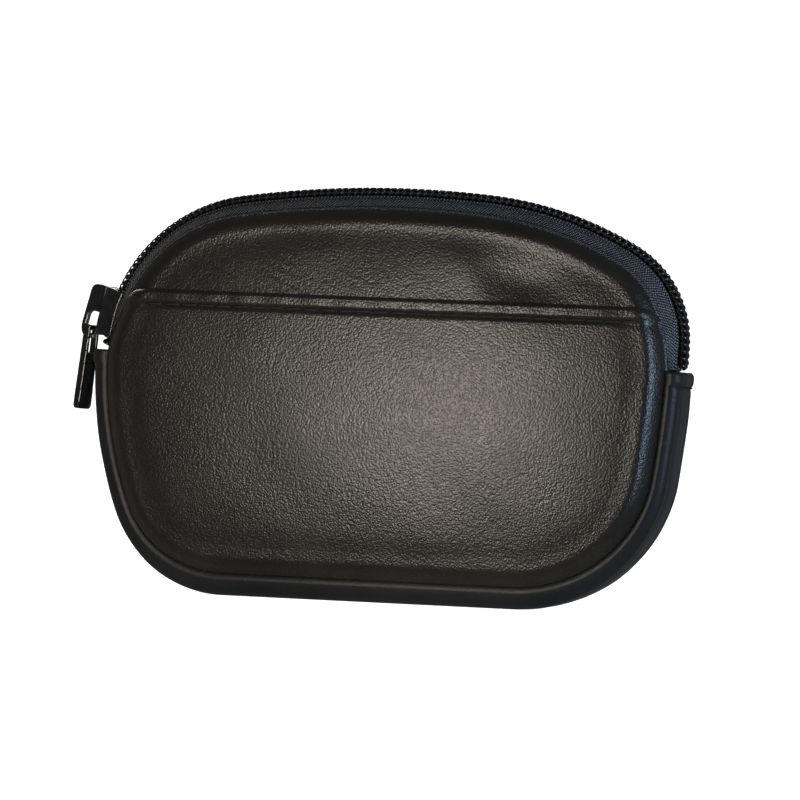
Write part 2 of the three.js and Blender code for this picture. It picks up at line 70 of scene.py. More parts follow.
# ------------------------------------------------------------------ outline
# The front view's outline is the chain of tangent arcs that the CAD part has, in mm.
FLAT_END_X = 24.7
ARCS = [
    ("bottom_right", 27.6, 82.0),
    ("right_side", 206.0, 7.0),
    ("right_shoulder", 20.0, 62.0),
    ("right_slope", 67.0, 24.0),
    ("top", 190.0, 14.0),
    ("left_shoulder", 30.0, 79.0),
    ("left_side", None, 23.5),
    ("bottom_left", 21.8, 68.5),
]
SEAM_Y = 9.0
SEAM_INSET = 3.6
SEAM_INSET_SIDE = 2.3
SIDE_TOP_Z = 42.0
ZIP_LOW_Z = 54.0
ZIP_END_Z = 44.0
COIL_START_Z = 50.5
POCKET_TOP_Z = 55.3
LEATHER = 1.1


def turn_vector(start, end):
    return np.array([np.sin(end) - np.sin(start), np.cos(start) - np.cos(end)])


def smoothstep(value, low, high):
    t = np.clip((value - low) / (high - low), 0, 1)
    return t * t * (3 - 2 * t)


def bump(value, centre, width):
    return np.exp(-(((value - centre) / width) ** 2))


class Outline:
    """The closed outline, measured by the distance along it from the flat bottom's right end."""

    def __init__(self):
        turns = np.radians([0.0] + [turn for _, _, turn in ARCS])
        self.headings = np.cumsum(turns)
        self.radii = [radius for _, radius, _ in ARCS]
        drift = np.zeros(2)
        for k, radius in enumerate(self.radii):
            if radius:
                drift += radius * turn_vector(self.headings[k], self.headings[k + 1])
        free = self.radii.index(None)
        across = turn_vector(self.headings[free], self.headings[free + 1])
        self.radii[free] = -drift[1] / across[1]
        flat = -(drift[0] + self.radii[free] * across[0])
        self.starts = [np.array([FLAT_END_X, 0.0])]
        self.lengths = []
        for k, radius in enumerate(self.radii):
            step = radius * turn_vector(self.headings[k], self.headings[k + 1])
            self.starts.append(self.starts[-1] + step)
            self.lengths.append(radius * (self.headings[k + 1] - self.headings[k]))
        self.lengths.append(flat)
        self.edges = np.concatenate([[0.0], np.cumsum(self.lengths)])
        self.perimeter = self.edges[-1]

    def at(self, distance):
        """x, z, the outward normal and the seam's inset at each distance."""
        s = np.mod(np.atleast_1d(np.asarray(distance, float)), self.perimeter)
        which = np.clip(np.searchsorted(self.edges, s, side="right") - 1, 0, len(ARCS))
        x, z, heading = np.zeros_like(s), np.zeros_like(s), np.zeros_like(s)
        for k in range(len(ARCS)):
            on = which == k
            angle = self.headings[k] + (s[on] - self.edges[k]) / self.radii[k]
            step = self.radii[k] * turn_vector(self.headings[k], angle)
            x[on] = self.starts[k][0] + step[0]
            z[on] = self.starts[k][1] + step[1]
            heading[on] = angle
        flat = which == len(ARCS)
        x[flat] = self.starts[-1][0] + s[flat] - self.edges[-2]
        nx, nz = np.sin(heading), -np.cos(heading)
        share = np.maximum(nz**2, smoothstep(z, SIDE_TOP_Z, ZIP_LOW_Z))
        inset = SEAM_INSET_SIDE + (SEAM_INSET - SEAM_INSET_SIDE) * share
        return {"x": x, "z": z, "nx": nx, "nz": nz, "inset": inset, "s": s}

    def centre(self, name):
        k = [arc[0] for arc in ARCS].index(name)
        inward = np.array([-np.sin(self.headings[k]), np.cos(self.headings[k])])
        return self.starts[k] + self.radii[k] * inward

    def distance_at_height(self, z, low, high):
        rising = self.at(high)["z"][0] > self.at(low)["z"][0]
        for _ in range(40):
            middle = (low + high) / 2
            if (self.at(middle)["z"][0] < z) == rising:
                low = middle
            else:
                high = middle
        return low


outline = Outline()
HALF_WAY = (outline.edges[4] + outline.edges[5]) / 2
RIGHT_END = outline.distance_at_height(ZIP_END_Z, 0, HALF_WAY)
LEFT_END = outline.distance_at_height(ZIP_END_Z, HALF_WAY, outline.edges[-2])
COIL_END = outline.distance_at_height(COIL_START_Z, HALF_WAY, LEFT_END)


def inset_points(station, y, depth):
    """Points at a depth in from the outline, for arrays of stations, y and depth."""
    x = station["x"] - station["nx"] * depth
    z = station["z"] - station["nz"] * depth
    return np.stack([x, np.broadcast_to(y, x.shape), z], axis=-1)


def noise(points, scale, seed):
    """Smooth noise from a few sine waves in fixed directions, about -1 to 1."""
    local = np.random.default_rng(seed)
    total = np.zeros(points.shape[:-1])
    for _ in range(9):
        direction = local.normal(size=3)
        direction /= np.linalg.norm(direction)
        wave = 2 * np.pi / (scale * local.uniform(0.7, 1.5))
        total += np.sin(points @ direction * wave + local.uniform(0, 2 * np.pi))
    return total / 4.0


# ------------------------------------------------------------------ meshes


def mesh_object(name, verts, faces, material):
    """An object from points in mm, with its faces turned outwards."""
    mesh = bpy.data.meshes.new(name)
    mesh.from_pydata((np.asarray(verts) * MM).tolist(), [], [list(map(int, f)) for f in faces])
    mesh.validate()
    work = bmesh.new()
    work.from_mesh(mesh)
    bmesh.ops.recalc_face_normals(work, faces=work.faces)
    work.to_mesh(mesh)
    work.free()
    mesh.materials.append(material)
    mesh.polygons.foreach_set("use_smooth", [True] * len(mesh.polygons))
    obj = bpy.data.objects.new(name, mesh)
    bpy.context.scene.collection.objects.link(obj)
    return obj


def grid_faces(rows, columns, closed_rows, closed_columns, first=0):
    """Quads of a grid of rows by columns points, either way closed on itself or not."""
    r = np.arange(rows if closed_rows else rows - 1)
    c = np.arange(columns if closed_columns else columns - 1)
    r, c = np.meshgrid(r, c, indexing="ij")
    r2, c2 = (r + 1) % rows, (c + 1) % columns
    quads = np.stack([r * columns + c, r * columns + c2, r2 * columns + c2, r2 * columns + c], -1)
    return (quads.reshape(-1, 4) + first).tolist()


def loft(name, rings, material, ends="flat", uv=None):
    """A closed body through rings of points, with flat ends or ends drawn to a point."""
    rings = np.asarray(rings)
    rows, columns, _ = rings.shape
    verts = rings.reshape(-1, 3)
    faces = grid_faces(rows, columns, False, True)
    if ends == "flat":
        faces.append(list(range(columns)))
        faces.append(list(range((rows - 1) * columns, rows * columns)))
    if ends == "point":
        verts = np.vstack([verts, rings[0].mean(0), rings[-1].mean(0)])
        a, b = rows * columns, rows * columns + 1
        last = (rows - 1) * columns
        for i in range(columns):
            faces.append([a, (i + 1) % columns, i])
            faces.append([b, last + i, last + (i + 1) % columns])
    obj = mesh_object(name, verts, faces, material)
    if uv is not None:
        put_uv(obj, verts, uv)
    return obj


def put_uv(obj, verts, uv):
    """UVs in mm, given for each point."""
    layer = obj.data.uv_layers.new(name="length_across")
    index = np.zeros(len(obj.data.loops), int)
    obj.data.loops.foreach_get("vertex_index", index)
    padded = np.zeros((len(verts), 2))
    padded[: len(uv)] = uv
    layer.data.foreach_set("uv", padded[index].ravel())


def tube(name, path, radius, sides, material, closed=False):
    """A round tube along a path of points in mm."""
    return mesh_object(name, *tube_geometry(path, radius, sides, closed), material)


def tube_geometry(path, radius, sides, closed=False, first=0):
    path = np.asarray(path, float)
    count = len(path)
    if closed:
        tangent = np.roll(path, -1, 0) - np.roll(path, 1, 0)
    else:
        tangent = np.gradient(path, axis=0)
    tangent /= np.linalg.norm(tangent, axis=1)[:, None]
    side = np.cross(tangent, [0.0, 1.0, 0.0])
    weak = np.linalg.norm(side, axis=1) < 1e-3
    side[weak] = np.cross(tangent[weak], [1.0, 0.0, 0.0])
    side /= np.linalg.norm(side, axis=1)[:, None]
    for k in range(1, count):
        side[k] = side[k - 1] - tangent[k] * (side[k - 1] @ tangent[k])
        side[k] /= np.linalg.norm(side[k])
    up = np.cross(tangent, side)
    angle = np.arange(sides) * 2 * np.pi / sides
    radius = np.broadcast_to(np.asarray(radius, float), (count,))
    ring = (
        side[:, None, :] * np.cos(angle)[None, :, None]
        + up[:, None, :] * np.sin(angle)[None, :, None]
    )
    verts = (path[:, None, :] + ring * radius[:, None, None]).reshape(-1, 3)
    faces = grid_faces(count, sides, closed, True, first)
    if not closed:
        faces.append([first + i for i in range(sides)])
        faces.append([first + (count - 1) * sides + i for i in range(sides)])
    return verts, faces


def join_tubes(name, paths, radius, sides, material):
    """Many short tubes in one object."""
    all_verts, all_faces = [], []
    total = 0
    for path in paths:
        verts, faces = tube_geometry(path, radius, sides, first=total)
        all_verts.append(verts)
        all_faces.extend(faces)
        total += len(verts)
    return mesh_object(name, np.vstack(all_verts), all_faces, material)


# ------------------------------------------------------------------ materials


def new_material(name, colour, roughness):
    material = bpy.data.materials.new(name)
    material.use_nodes = True
    shader = material.node_tree.nodes["Principled BSDF"]
    shader.inputs["Base Color"].default_value = (*colour, 1)
    shader.inputs["Roughness"].default_value = roughness
    return material, material.node_tree, shader


def node(tree, kind, **inputs):
    made = tree.nodes.new(kind)
    for key, value in inputs.items():
        made.inputs[key].default_value = value
    return made


def math_node(tree, operation, a, b=None):
    made = tree.nodes.new("ShaderNodeMath")
    made.operation = operation
    for slot, value in enumerate((a, b)):
        if value is None:
            continue
        if isinstance(value, (int, float)):
            made.inputs[slot].default_value = value
        else:
            tree.links.new(value, made.inputs[slot])
    return made.outputs[0]


def noise_node(tree, coordinate, scale, detail=3.0, roughness=0.5):
    made = node(tree, "ShaderNodeTexNoise", Scale=scale, Detail=detail, Roughness=roughness)
    tree.links.new(coordinate, made.inputs["Vector"])
    return made.outputs["Fac"]


def ramp(tree, value, stops):
    made = tree.nodes.new("ShaderNodeValToRGB")
    elements = made.color_ramp.elements
    while len(elements) < len(stops):
        elements.new(0.5)
    for element, (place, colour) in zip(elements, stops):
        element.position = place
        element.color = (*colour, 1)
    tree.links.new(value, made.inputs["Fac"])
    return made.outputs["Color"]


def bump_node(tree, height, strength, distance):
    made = node(tree, "ShaderNodeBump", Strength=strength, Distance=distance)
    tree.links.new(height, made.inputs["Height"])
    return made.outputs["Normal"]


def leather_material(name, dark, light, gloss, polished, grain=1.0):
    """Fine-grained leather: pebbles under a millimetre, with an uneven colour and polish."""
    material, tree, shader = new_material(name, light, 0.42)
    place = tree.nodes.new("ShaderNodeTexCoord").outputs["Object"]
    cells = node(tree, "ShaderNodeTexVoronoi", Scale=2600.0, Randomness=1.0)
    cells.feature = "SMOOTH_F1"
    cells.inputs["Smoothness"].default_value = 0.35
    warp = node(tree, "ShaderNodeTexNoise", Scale=1500.0, Detail=2.0)
    tree.links.new(place, warp.inputs["Vector"])
    mixed = tree.nodes.new("ShaderNodeMix")
    mixed.data_type = "VECTOR"
    mixed.inputs["Factor"].default_value = 0.0004
    tree.links.new(place, mixed.inputs[4])
    tree.links.new(warp.outputs["Color"], mixed.inputs[5])
    tree.links.new(mixed.outputs[1], cells.inputs["Vector"])
    fine = noise_node(tree, place, 6500.0, 2.0)
    broad = noise_node(tree, place, 260.0, 4.0)
    pebble = math_node(tree, "MULTIPLY", cells.outputs["Distance"], -1.0)
    height = math_node(tree, "ADD", pebble, math_node(tree, "MULTIPLY", fine, 0.5))
    height = math_node(tree, "ADD", height, math_node(tree, "MULTIPLY", broad, 0.1))
    normal = bump_node(tree, height, 0.42 * grain, 0.00015)
    tree.links.new(normal, shader.inputs["Normal"])
    patch = noise_node(tree, place, 60.0, 3.0)
    tree.links.new(ramp(tree, patch, [(0.35, dark), (0.7, light)]), shader.inputs["Base Color"])
    polish = math_node(tree, "MULTIPLY", noise_node(tree, place, 140.0, 4.0), 0.12)
    tree.links.new(math_node(tree, "ADD", polish, polished), shader.inputs["Roughness"])
    shader.inputs["Specular IOR Level"].default_value = gloss
    shader.inputs["Sheen Weight"].default_value = 0.02
    shader.inputs["Sheen Roughness"].default_value = 0.5
    return material


def woven_material(name, dark, light, along, across, strength):
    """A weave of the given thread pitches in mm, drawn in the piece's own UVs. Its light colour
    goes on the peaks of the weave and its fuzz; on the zip tape that colour is painted glints.
    """
    material, tree, shader = new_material(name, light, 0.86)
    uv = tree.nodes.new("ShaderNodeTexCoord").outputs["UV"]
    split = tree.nodes.new("ShaderNodeSeparateXYZ")
    tree.links.new(uv, split.inputs["Vector"])
    u = math_node(tree, "MULTIPLY", split.outputs["X"], 2 * math.pi / along)
    v = math_node(tree, "MULTIPLY", split.outputs["Y"], 2 * math.pi / across)
    rib = math_node(tree, "SINE", math_node(tree, "ADD", u, math_node(tree, "MULTIPLY", v, 0.5)))
    warp = math_node(tree, "SINE", v)
    weave = math_node(tree, "MULTIPLY", rib, warp)
    place = tree.nodes.new("ShaderNodeTexCoord").outputs["Object"]
    # Fine fuzz for the bump; its peaks also take the light colour, which on the zip tape is a
    # painted glint on each bright speckle.
    fuzz_and_glint_speckle = noise_node(tree, place, 3600.0, 5.0, 0.8)
    weave = math_node(tree, "ADD", math_node(tree, "MULTIPLY", weave, 0.28), fuzz_and_glint_speckle)
    tree.links.new(bump_node(tree, weave, strength, 0.0004), shader.inputs["Normal"])
    stops = [(0.52, dark), (0.8, light)]
    tree.links.new(ramp(tree, weave, stops), shader.inputs["Base Color"])
    shader.inputs["Specular IOR Level"].default_value = 0.2
    shader.inputs["Sheen Weight"].default_value = 0.04
    shader.inputs["Sheen Roughness"].default_value = 0.4
    return material


def thread_material():
    """Twisted sewing thread with fine plies."""
    material, tree, shader = new_material("sewing_thread", (0.003, 0.003, 0.0035), 0.6)
    place = tree.nodes.new("ShaderNodeTexCoord").outputs["Object"]
    plies = node(tree, "ShaderNodeTexWave", Scale=900.0, Distortion=3.0, Detail=2.0)
    tree.links.new(place, plies.inputs["Vector"])
    normal = bump_node(tree, plies.outputs["Fac"], 0.5, 0.0001)
    tree.links.new(normal, shader.inputs["Normal"])
    shader.inputs["Specular IOR Level"].default_value = 0.22
    stops = [(0.0, (0.002, 0.002, 0.002)), (1.0, (0.008, 0.008, 0.009))]
    tree.links.new(ramp(tree, plies.outputs["Fac"], stops), shader.inputs["Base Color"])
    return material


def nylon_material():
    """Extruded nylon filament with a faint unevenness."""
    material, tree, shader = new_material("nylon_coil", (0.006, 0.006, 0.007), 0.24)
    place = tree.nodes.new("ShaderNodeTexCoord").outputs["Object"]
    uneven = noise_node(tree, place, 1500.0, 3.0)
    tree.links.new(bump_node(tree, uneven, 0.12, 0.0001), shader.inputs["Normal"])
    rough = math_node(tree, "ADD", math_node(tree, "MULTIPLY", uneven, 0.15), 0.2)
    tree.links.new(rough, shader.inputs["Roughness"])
    shader.inputs["Specular IOR Level"].default_value = 0.6
    return material


def enamel_material():
    """Gloss black enamel on a zinc casting, with faint ripples and smears."""
    material, tree, shader = new_material("black_enamel", (0.004, 0.004, 0.0045), 0.2)
    place = tree.nodes.new("ShaderNodeTexCoord").outputs["Object"]
    ripple = noise_node(tree, place, 420.0, 2.0)
    tree.links.new(bump_node(tree, ripple, 0.08, 0.0002), shader.inputs["Normal"])
    smear = noise_node(tree, place, 900.0, 4.0)
    rough = math_node(tree, "ADD", math_node(tree, "MULTIPLY", smear, 0.1), 0.06)
    tree.links.new(rough, shader.inputs["Roughness"])
    stops = [(0.3, (0.003, 0.003, 0.0035)), (0.8, (0.009, 0.009, 0.01))]
    tree.links.new(ramp(tree, smear, stops), shader.inputs["Base Color"])
    shader.inputs["Coat Weight"].default_value = 0.5
    shader.inputs["Coat Roughness"].default_value = 0.05
    return material


face_leather = leather_material(
    "face_leather", (0.0045, 0.0042, 0.0037), (0.0085, 0.0077, 0.0062), gloss=0.36, polished=0.25
)
edge_leather = leather_material(
    "gusset_leather", (0.004, 0.0043, 0.0050), (0.007, 0.0075, 0.0085), 0.2, 0.4, grain=0.5
)
# The zip tape's pale light colour is painted glints on the speckles of its weave, not the tape's
# own colour.
tape_cloth_painted_glints = woven_material(
    "zip_tape_weave_painted_glints", (0.002, 0.002, 0.003), (0.26, 0.28, 0.31), 0.62, 0.8, 1.0
)
lining_cloth = woven_material(
    "lining_weave", (0.006, 0.006, 0.007), (0.02, 0.02, 0.022), 0.5, 0.5, 0.5
)
thread = thread_material()
nylon = nylon_material()
enamel = enamel_material()

# ------------------------------------------------------------------ leather faces

ROLL_WIDTH = 3.0  # of the rolled edge, in the plane of the face
ROLL_HEIGHT = 1.55
GROOVE_WIDTH = 0.75  # of the sunken seam between the roll and the gusset or tape
GROOVE_DEPTH = 1.3
POCKET_LIFT = 1.15  # the pocket over the face
HEM = 2.9  # width of the pocket's turned top hem
FACE_TOP_Y = SEAM_Y - 0.15  # where a face's height is measured from
FACE_CENTRE = np.array([0.0, 38.0])
FACE_POINTS = 360  # round the face
FACE_RINGS = 74  # from its centre to where the rolled edge begins
POCKET_CENTRE = np.array([0.0, 27.0])
POCKET_POINTS = 440
POCKET_RINGS = 70
POCKET_CORNER_LEFT = 3.2
POCKET_CORNER_RIGHT = 2.6
POCKET_SEED = 11  # of the pocket's soft hollows


def edge_distance(x, z, edge):
    """Distance from each point to a closed polygon, in small batches."""
    a = edge
    d = np.roll(edge, -1, 0) - edge
    length = (d**2).sum(1)
    points = np.stack([x, z], -1).reshape(-1, 2)
    out = np.empty(len(points))
    for k in range(0, len(points), 4000):
        p = points[k : k + 4000, None, :] - a[None]
        t = np.clip((p * d[None]).sum(2) / length, 0, 1)
        out[k : k + 4000] = np.hypot(*np.moveaxis(p - t[..., None] * d[None], -1, 0)).min(1)
    return out.reshape(x.shape)


def face_edge(count, extra=0.1):
    """The line of the face seam, as seen from the front."""
    station = outline.at(np.arange(count) * outline.perimeter / count)
    depth = station["inset"] + extra
    return np.stack(
        [station["x"] - station["nx"] * depth, station["z"] - station["nz"] * depth], -1
    )


SEAM_EDGE = face_edge(FACE_POINTS)


def rolled(d):
    """The height of a rolled leather edge at a distance in from the seam."""
    t = np.clip((d - GROOVE_WIDTH) / ROLL_WIDTH, 0, 1)
    groove = -GROOVE_DEPTH * smoothstep(d, GROOVE_WIDTH, GROOVE_WIDTH - 0.45)
    return groove + ROLL_HEIGHT * (1 - (1 - t) ** 2.3)


def soft_relief(x, z, seed):
    """The low hollows and swells of a hand-sewn, slightly used purse."""
    points = np.stack([x, np.zeros_like(x), z], -1)
    return 0.16 * noise(points, 38.0, seed) + 0.05 * noise(points, 15.0, seed + 1)


def face_height(x, z, d, seed):
    valley = -0.1 * bump(d, 5.4, 2.0)
    crown = 0.9 * (1 - np.exp(-d / 8.0))
    dome = 1.1 * np.clip(1 - ((x - 6) / 52) ** 2 - ((z - 31) / 42) ** 2, 0, 1)
    return rolled(d) + valley + crown + dome + soft_relief(x, z, seed) * smoothstep(d, 2, 9)


def upper_face_relief(x, z, d):
    """The upper face sinks behind the pocket's hem, is pulled into fine creases at its
    left, and has a soft dent at its right."""
    sink = -0.35 * smoothstep(z, 54, 72)
    pulled = bump(x, -30, 17) * bump(z, 57.5, 5.0)
    creases = np.sin((x * 0.55 + z * 0.85) * 2 * np.pi / 1.7 + 1.5 * np.sin(x * 0.5))
    dent = -0.85 * bump(x, 26, 8.5) * bump(z, 59, 4.5)
    ridge = 0.3 * bump(x + 0.5 * (z - 60), 15, 4) * bump(z, 60, 5)
    return (sink + 0.06 * creases * pulled + dent + ridge) * smoothstep(d, 1.5, 5)


def face_rings(edge):
    """The face's edge scaled about its centre, with closer rings along the rolled edge."""
    share = np.concatenate([np.linspace(0.04, 0.86, FACE_RINGS), np.linspace(0.87, 1.0, 26)])
    return np.array([FACE_CENTRE + (edge - FACE_CENTRE) * t for t in share])


def leather_face(name, side, seed, relief=None):
    """A whole leather face from seam to seam, a closed shell."""
    rings = face_rings(face_edge(FACE_POINTS))
    x, z = rings[..., 0], rings[..., 1]
    d = edge_distance(x, z, SEAM_EDGE)
    d[-1] = 0
    height = face_height(x, z, d, seed)
    if relief is not None:
        height = height + relief(x, z, d)
    y = side * (FACE_TOP_Y + height)
    outer = np.stack([x, y, z], -1)
    station = outline.at(np.arange(FACE_POINTS) * outline.perimeter / FACE_POINTS)
    turned = [
        inset_points(station, side * (SEAM_Y - 1.9), station["inset"] + extra)
        for extra in (0.35, 1.0, 2.0)
    ]
    inner = [
        np.stack([x[k], y[k] - side * LEATHER, z[k]], -1)
        for k in range(len(rings) - 12, -1, -6)
    ]
    all_rings = np.array(list(outer) + turned + inner)
    return loft(name, all_rings, face_leather, ends="point")


def pocket_reach():
    """The pocket's outline about its centre: the seam line, cut by the top edge with
    rounded corners. It is found by halving along each direction."""
    edge = face_edge(2000)
    angle = np.arange(POCKET_POINTS) * 2 * np.pi / POCKET_POINTS
    direction = np.stack([np.cos(angle), np.sin(angle)], -1)
    reach = np.empty(POCKET_POINTS)
    for k, way in enumerate(direction):
        low, high = 0.0, 80.0
        for _ in range(26):
            middle = (low + high) / 2
            if pocket_inside(POCKET_CENTRE + way * middle, edge):
                low = middle
            else:
                high = middle
        reach[k] = low
    return direction, reach


def pocket_inside(p, edge):
    """Is a point within the pocket's outline?"""
    x, z = p
    if z > POCKET_TOP_Z:
        return False
    radius = POCKET_CORNER_RIGHT if x > 0 else POCKET_CORNER_LEFT
    d = seam_depth(x, z, edge)
    if d < 0:
        return False
    top = POCKET_TOP_Z - z
    if d < radius and top < radius:
        return math.hypot(radius - d, radius - top) < radius
    return True


def seam_depth(x, z, edge):
    """How far in from the seam line a point is, negative outside."""
    delta = edge - np.array([x, z])
    k = int((delta**2).sum(1).argmin())
    ahead = edge[(k + 1) % len(edge)] - edge[k - 1]
    inward = np.array([-ahead[1], ahead[0]]) / np.linalg.norm(ahead)
    return float(-(delta[k] @ inward))


def pocket_height(x, z, d):
    """The pocket's outer surface: it rolls into the seam, and its top hem is folded over
    and pressed down along the stitch line."""
    top = POCKET_TOP_Z - z
    fold = np.sqrt(np.clip(1 - (1 - np.clip(top / 0.8, 0, 1)) ** 2, 0, 1))
    base = face_height(x, z, d, POCKET_SEED)
    lift = POCKET_LIFT * smoothstep(d, -1.0, 3.0)
    hem = 0.42 * smoothstep(top, HEM + 0.5, HEM - 0.5)
    stitch = -0.55 * bump(top, HEM - 0.15, 0.48)
    swell = 0.55 * bump(x, 8, 34) * bump(z, 30, 17)
    ripple = 0.07 * np.sin(x * 2 * np.pi / 6.5 + 1.3) * bump(top, 1.2, 1.2)
    body = base + lift * (0.35 + 0.65 * fold) + hem * fold + stitch + swell + ripple
    return body - 0.75 * (1 - fold)


def front_pocket():
    """The slip pocket, a closed shell over the face, open to the face along its top."""
    direction, reach = pocket_reach()
    share = np.concatenate([np.linspace(0.03, 0.86, POCKET_RINGS), np.linspace(0.87, 1.0, 44)])
    flat = POCKET_CENTRE + direction[None] * (reach[None, :] * share[:, None])[..., None]
    x, z = flat[..., 0], flat[..., 1]
    d = edge_distance(x, z, SEAM_EDGE)
    y = -(FACE_TOP_Y + pocket_height(x, z, d))
    outer = np.stack([x, y, z], -1)
    under = []
    for k, back in ((-1, 0.45), (-14, 0.95), (-40, 1.0), (-70, 1.0), (-100, 1.0)):
        under.append(np.stack([x[k], y[k] + back * LEATHER * 0.8, z[k]], -1))
    rings = np.array(list(outer) + under)
    return loft("leather_front_pocket", rings, face_leather, ends="point")


def below_pocket(x, z, d):
    """The face lies a leather's thickness lower where the pocket covers it."""
    return upper_face_relief(x, z, d) - 1.0 * smoothstep(z, 54.6, 52.5)


front_face = leather_face("leather_front_face", -1, 3, below_pocket)
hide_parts("front_panel")
back_face = leather_face("leather_back_face", 1, 5)
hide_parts("back_panel")
pocket = front_pocket()
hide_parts("front_pocket")

# ------------------------------------------------------------------ stitches

POCKET_STITCH_PITCH = 3.25
POCKET_RUN_START = -47.6
POCKET_RUN_END = 46.6


def stitch_path(start, end, normal, sag, steps=7):
    """One stitch: it rises out of the leather, lies along it and dips back in."""
    t = np.linspace(0, 1, steps)[:, None]
    arch = np.sqrt(np.clip(1 - (2 * t - 1) ** 2, 0, 1))
    return start + (end - start) * t + normal * sag * (arch - 0.55)


def pocket_stitches():
    """The run of stitches under the pocket's hem, each one very slightly uneven."""
    z0 = POCKET_TOP_Z - HEM + 0.15
    paths = []
    x = POCKET_RUN_START
    while x < POCKET_RUN_END:
        ends = np.array([x + 0.15, x + POCKET_STITCH_PITCH - 0.15])
        z = z0 + rng.uniform(-0.06, 0.06, 2)
        d = edge_distance(ends, z, SEAM_EDGE)
        y = -(FACE_TOP_Y + pocket_height(ends, z, d))
        a, b = (np.array([ends[k], y[k], z[k]]) for k in (0, 1))
        paths.append(stitch_path(a, b, np.array([0, -1.0, 0]), 0.3))
        x += POCKET_STITCH_PITCH
    return join_tubes("pocket_hem_stitches", paths, 0.3, 8, thread)


pocket_thread = pocket_stitches()
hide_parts("pocket_stitching")

# ------------------------------------------------------------------ gusset

GUSSET_END = 2.8  # width of the turned hem at each end
GUSSET_STITCHES = 5
GUSSET_STITCH_PITCH = 2.9
GUSSET_STITCH_START_Y = -7.1
TURN_Y = np.array([8.55, 7.7, 6.9])  # the gusset's edges, turned down into the seam
TURN_DEPTH = np.array([0.55, 0.95, 0.3])


def gusset_depth(y, station, row):
    """Depth of the gusset's outer surface below the outline at each place across it."""
    inset = station["inset"][row]
    v = np.clip((SEAM_Y - 0.1 - np.abs(y)) / 2.5, 0, 1)
    lip = inset * (1 - np.sqrt(np.clip(1 - (1 - v) ** 2, 0, 1)))
    valley = 0.3 * bump(np.abs(y), 5.3, 1.2)
    return lip + valley - 0.1


def gusset():
    """The boxed strip round the sides and bottom, with its edges and ends turned in."""
    rows, columns = 300, 46
    s = np.linspace(LEFT_END - outline.perimeter, RIGHT_END, rows)
    station = outline.at(s)
    y = (SEAM_Y - 0.12) * np.sin(np.linspace(-np.pi / 2, np.pi / 2, columns))
    from_end = np.minimum(s - s[0], s[-1] - s)
    rings = []
    for row in range(rows):
        one = {key: np.full(columns, value[row]) for key, value in station.items()}
        depth = gusset_depth(y, station, row)
        lifted = 0.35 * smoothstep(from_end[row], GUSSET_END + 0.4, GUSSET_END - 0.3)
        stitch = 0.34 * bump(from_end[row], GUSSET_END, 0.4)
        rounded = 0.5 * bump(from_end[row], 0.0, 0.35)
        at = inset_points(one, y, depth)
        flat = 0.35 * smoothstep(one["z"], 1.5, 6.0) * smoothstep(8.4 - np.abs(y), 0, 3)
        wave = flat * (noise(at, 17.0, 21) * 0.5 + noise(at, 7.0, 22) * 0.18)
        outer = inset_points(one, y, depth + wave + stitch + rounded - lifted)
        rim = one["inset"][0]
        back_y = np.concatenate([TURN_Y, [6.0, 3.0, 0.0, -3.0, -6.0], -TURN_Y[::-1]])
        turn = rim + TURN_DEPTH
        back_depth = np.concatenate([turn, [1.3, 1.2, 1.15, 1.2, 1.3], turn[::-1]])
        edge = {key: np.full(len(back_y), value[row]) for key, value in station.items()}
        rings.append(np.vstack([outer, inset_points(edge, back_y, back_depth)]))
    return loft("leather_gusset", rings, edge_leather)


def hem_stitches(name, end, direction):
    """The row of stitches across the gusset, just below one of its ends."""
    station = outline.at(end + direction * GUSSET_END)
    one = {key: value[0] for key, value in station.items()}
    normal = np.array([one["nx"], 0, one["nz"]])
    paths = []
    for k in range(GUSSET_STITCHES):
        start = GUSSET_STITCH_START_Y + k * GUSSET_STITCH_PITCH
        y = np.array([start + 0.25, start + GUSSET_STITCH_PITCH - 0.25])
        depth = gusset_depth(y, station, 0)
        ends = [
            np.array([one["x"] - one["nx"] * dd, yy, one["z"] - one["nz"] * dd])
            for yy, dd in zip(y, depth)
        ]
        paths.append(stitch_path(ends[0], ends[1], normal, 0.35))
    return join_tubes(name, paths, 0.19, 8, thread)


gusset_piece = gusset()
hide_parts("gusset")
for name, end, direction in (("right", RIGHT_END, -1), ("left", LEFT_END, 1)):
    run = hem_stitches(f"{name}_hem_stitches", end, direction)
    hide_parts(f"{name}_hem_stitching")
    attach(run, "root")

# ------------------------------------------------------------------ zip

TAPE_DEPTH = 2.0
PITCH = 1.289  # of the coil's turns
FILAMENT = 0.37  # radius
COIL_THREAD = 0.15  # radius of the sewing that holds a coil down


def parted(s):
    """Half of the slot between the tapes, wider where the slider's post stands."""
    return 0.3 + 0.85 * smoothstep(s, COIL_END - 4, COIL_END)


def tape_surface(v, inset):
    """Depth of the tape below the outline, from the coil's edge out to the face seam: a
    smooth corded edge, a groove, then the woven field sloping under the leather."""
    cord = -0.45 * bump(v, 3.0, 0.55)
    groove = 0.12 * bump(v, 3.9, 0.3)
    slope = (inset + 0.75 - TAPE_DEPTH) * smoothstep(v, 3.2, 9.6)
    return TAPE_DEPTH + cord + groove + slope


def zip_tape(name, side):
    """Half of the woven tape, from under the coil out to the face seam."""
    rows, columns = 340, 34
    s = np.linspace(RIGHT_END + 0.15, LEFT_END - 0.15, rows)
    station = outline.at(s)
    rings, uv = [], []
    for row in range(rows):
        v = np.linspace(parted(s[row]), SEAM_Y - 0.2, columns)
        inset = station["inset"][row]
        one = {key: np.full(columns, value[row]) for key, value in station.items()}
        depth = tape_surface(v, inset)
        outer = inset_points(one, side * v, depth)
        inner = inset_points(one, side * v, TAPE_DEPTH + 0.6 + (depth - TAPE_DEPTH).clip(0))[::-1]
        rings.append(np.vstack([outer, inner]))
        line = np.stack([np.full(columns, s[row]), v], -1)
        uv.append(np.vstack([line, line[::-1]]))
    uv = np.array(uv).reshape(-1, 2)
    return loft(name, rings, tape_cloth_painted_glints, uv=uv)


